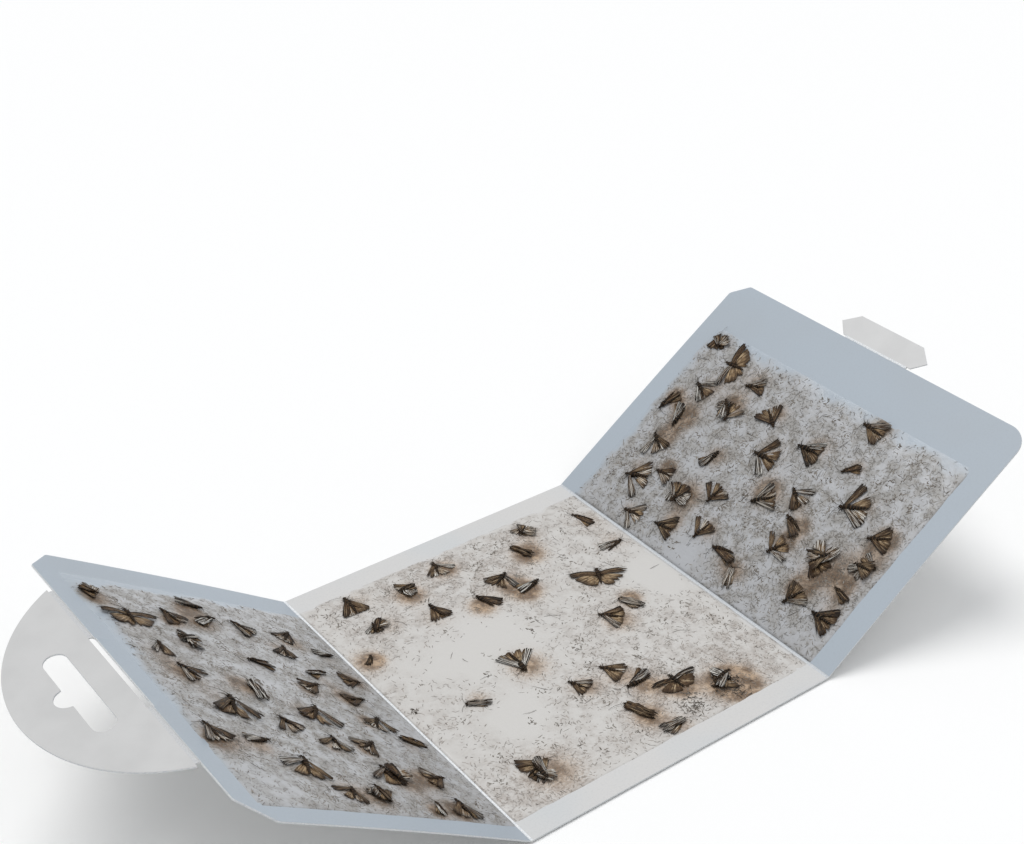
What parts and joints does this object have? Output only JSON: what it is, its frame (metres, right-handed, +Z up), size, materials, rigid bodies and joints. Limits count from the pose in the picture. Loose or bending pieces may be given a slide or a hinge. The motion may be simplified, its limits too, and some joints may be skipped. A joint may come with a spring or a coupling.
{
  "type": "folding moth glue trap",
  "caption": "Folding card glue trap for moths, shown opened: flat centre panel, two raised side panels, sticky coat with caught moths, slotted hang tab, lock tab.",
  "frame": {"origin": "centre of the centre panel's underside, the face that the trap rests on", "axes": "+X towards the side panel with the lock tab, -X towards the side panel with the hang tab, +Y along the folds towards the back edge, +Z up"},
  "size_m": [0.2863, 0.12, 0.0567],
  "materials": {
    "card": "coated carton board, satin",
    "tab_card": "coated carton board, satin, unprinted",
    "glue": "wet, sticky pressure-sensitive adhesive, glossy",
    "moth": "dusty, scaly"
  },
  "bodies": {
    "base": {"centre_panel": "card", "glue_centre": "glue", "moths_centre": "moth", "left_crease": "card", "right_crease": "card"},
    "left_flap": {"left_panel": "card", "glue_left": "glue", "moths_left": "moth", "hang_crease": "card"},
    "right_flap": {"right_panel": "card", "glue_right": "glue", "moths_right": "moth", "lock_crease": "card"},
    "hang_tab": {"hang_tab": "tab_card"},
    "lock_tab": {"lock_tab": "tab_card"}
  },
  "joints": [
    {"name": "left_fold", "type": "hinge", "parent": "base", "child": "left_flap", "pos_m": [-0.05165, 0, 0.0005], "axis": [0, 1, 0], "range_deg": [-34.5, 90.34]},
    {"name": "right_fold", "type": "hinge", "parent": "base", "child": "right_flap", "pos_m": [0.05165, 0, 0.0005], "axis": [0, -1, 0], "range_deg": [-34.5, 90.34]},
    {"name": "hang_tab_fold", "type": "hinge", "parent": "left_flap", "child": "hang_tab", "pos_m": [-0.12693, 0, 0.05163], "axis": [0, 1, 0], "range_deg": [-4.5, 40.5]},
    {"name": "lock_tab_fold", "type": "hinge", "parent": "right_flap", "child": "lock_tab", "pos_m": [0.12644, 0, 0.0519], "axis": [0, -1, 0], "range_deg": [0, 60]}
  ]
}
